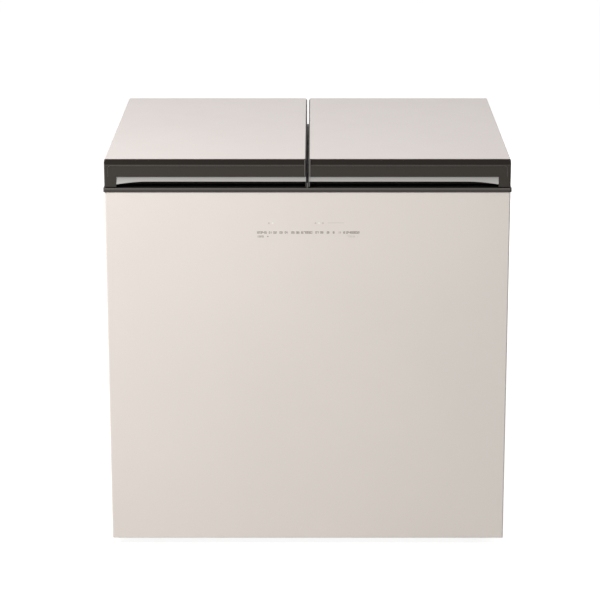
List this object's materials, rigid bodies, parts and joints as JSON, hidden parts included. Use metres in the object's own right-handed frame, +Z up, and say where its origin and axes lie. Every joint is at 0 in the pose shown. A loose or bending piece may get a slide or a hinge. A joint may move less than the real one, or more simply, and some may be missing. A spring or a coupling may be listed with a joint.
{
  "type": "kimchi refrigerator",
  "caption": "Chest kimchi refrigerator with beige front and twin top lids, dark rim and fascia, silver grip strips, foamed wells with lidded tubs.",
  "frame": {"origin": "centre of the outline on the floor", "axes": "+X to the right seen from the front, +Y to the back, +Z up; the front panel faces -Y"},
  "size_m": [0.909, 0.735, 0.916],
  "materials": {
    "body_paint": "satin",
    "front_paint": "satin",
    "lid_paint": "satin",
    "zinc_sheet": "satin",
    "dark_plastic": "satin",
    "black_plastic": "matte",
    "handle_silver": "satin",
    "liner_white": "satin",
    "foam": "matte",
    "aluminium_tube": "satin",
    "compressor_black": "satin",
    "condenser_metal": "satin",
    "motor_metal": "satin",
    "copper": "satin",
    "bright_steel": "satin",
    "hinge_steel": "satin",
    "rubber": "matte",
    "gasket": "matte",
    "board": "satin",
    "sensor_plastic": "satin",
    "foot_plastic": "matte",
    "roller_plastic": "matte",
    "tub_plastic": "satin",
    "tub_lid_plastic": "satin"
  },
  "bodies": {
    "cabinet": {"side_panel_left": "body_paint", "side_panel_right": "body_paint", "front_panel": "front_paint", "back_panel": "zinc_sheet", "base_pan": "zinc_sheet", "top_rim": "dark_plastic", "liner_left": "liner_white", "liner_right": "liner_white", "insulation_foam": "foam", "evaporator_left": "aluminium_tube", "evaporator_right": "aluminium_tube", "machine_room_plate": "zinc_sheet", "compressor": "compressor_black", "compressor_grommets": "rubber", "compressor_studs": "bright_steel", "condenser": "condenser_metal", "fan_shroud": "black_plastic", "fan_motor": "motor_metal", "filter_drier": "copper", "refrigerant_pipes": "copper", "machine_cover": "zinc_sheet", "rear_screws": "bright_steel", "control_box": "black_plastic", "control_board": "board", "display_board": "board", "temperature_sensors": "sensor_plastic", "cord_inlet": "rubber", "roller_brackets": "zinc_sheet", "roller_axles": "bright_steel", "foot_bushes": "bright_steel", "hinge_brackets": "hinge_steel", "hinge_pins": "bright_steel", "hinge_springs": "bright_steel"},
    "lid_left": {"lid_panel_left": "lid_paint", "lid_frame_left": "dark_plastic", "handle_left": "handle_silver", "lid_liner_left": "liner_white", "lid_foam_left": "foam", "lid_gasket_left": "gasket", "hinge_arms_left": "hinge_steel"},
    "lid_right": {"lid_panel_right": "lid_paint", "lid_frame_right": "dark_plastic", "handle_right": "handle_silver", "lid_liner_right": "liner_white", "lid_foam_right": "foam", "lid_gasket_right": "gasket", "hinge_arms_right": "hinge_steel"},
    "foot_left_body": {"foot_left": "foot_plastic"},
    "roller_left_body": {"roller_left": "roller_plastic"},
    "foot_right_body": {"foot_right": "foot_plastic"},
    "roller_right_body": {"roller_right": "roller_plastic"},
    "fan": {"fan_blade": "black_plastic"},
    "container_front_left": {"tub_front_left": "tub_plastic"},
    "container_lid_front_left": {"tub_lid_front_left": "tub_lid_plastic"},
    "container_front_right": {"tub_front_right": "tub_plastic"},
    "container_lid_front_right": {"tub_lid_front_right": "tub_lid_plastic"},
    "container_rear_left": {"tub_rear_left": "tub_plastic"},
    "container_lid_rear_left": {"tub_lid_rear_left": "tub_lid_plastic"},
    "container_rear_right": {"tub_rear_right": "tub_plastic"},
    "container_lid_rear_right": {"tub_lid_rear_right": "tub_lid_plastic"}
  },
  "joints": [
    {"name": "lid_left_hinge", "type": "hinge", "parent": "cabinet", "child": "lid_left", "pos_m": [-0.24, 0.361, 0.85825], "axis": [-1, 0, 0], "range_deg": [0, 80], "stiffness_Nm_per_rad": 10, "springref_deg": 80.21},
    {"name": "lid_right_hinge", "type": "hinge", "parent": "cabinet", "child": "lid_right", "pos_m": [0.24, 0.361, 0.85825], "axis": [-1, 0, 0], "range_deg": [0, 80], "stiffness_Nm_per_rad": 10, "springref_deg": 80.21},
    {"name": "foot_left_screw", "type": "slide", "parent": "cabinet", "child": "foot_left_body", "axis": [0, 0, -1], "range_m": [0, 0.015]},
    {"name": "roller_left_spin", "type": "hinge", "parent": "cabinet", "child": "roller_left_body", "pos_m": [-0.392, 0.309, 0.015], "axis": [1, 0, 0], "continuous": true},
    {"name": "foot_right_screw", "type": "slide", "parent": "cabinet", "child": "foot_right_body", "axis": [0, 0, -1], "range_m": [0, 0.015]},
    {"name": "roller_right_spin", "type": "hinge", "parent": "cabinet", "child": "roller_right_body", "pos_m": [0.392, 0.309, 0.015], "axis": [1, 0, 0], "continuous": true},
    {"name": "fan_spin", "type": "hinge", "parent": "cabinet", "child": "fan", "pos_m": [0.04, 0.23, 0.1152], "axis": [1, 0, 0], "continuous": true},
    {"name": "container_front_left_lift", "type": "slide", "parent": "cabinet", "child": "container_front_left", "axis": [0, 0, 1], "range_m": [0, 0.4]},
    {"name": "container_lid_front_left_lift", "type": "slide", "parent": "container_front_left", "child": "container_lid_front_left", "axis": [0, 0, 1], "range_m": [0, 0.08]},
    {"name": "container_front_right_lift", "type": "slide", "parent": "cabinet", "child": "container_front_right", "axis": [0, 0, 1], "range_m": [0, 0.4]},
    {"name": "container_lid_front_right_lift", "type": "slide", "parent": "container_front_right", "child": "container_lid_front_right", "axis": [0, 0, 1], "range_m": [0, 0.08]},
    {"name": "container_rear_left_lift", "type": "slide", "parent": "cabinet", "child": "container_rear_left", "axis": [0, 0, 1], "range_m": [0, 0.19]},
    {"name": "container_lid_rear_left_lift", "type": "slide", "parent": "container_rear_left", "child": "container_lid_rear_left", "axis": [0, 0, 1], "range_m": [0, 0.08]},
    {"name": "container_rear_right_lift", "type": "slide", "parent": "cabinet", "child": "container_rear_right", "axis": [0, 0, 1], "range_m": [0, 0.19]},
    {"name": "container_lid_rear_right_lift", "type": "slide", "parent": "container_rear_right", "child": "container_lid_rear_right", "axis": [0, 0, 1], "range_m": [0, 0.08]}
  ]
}
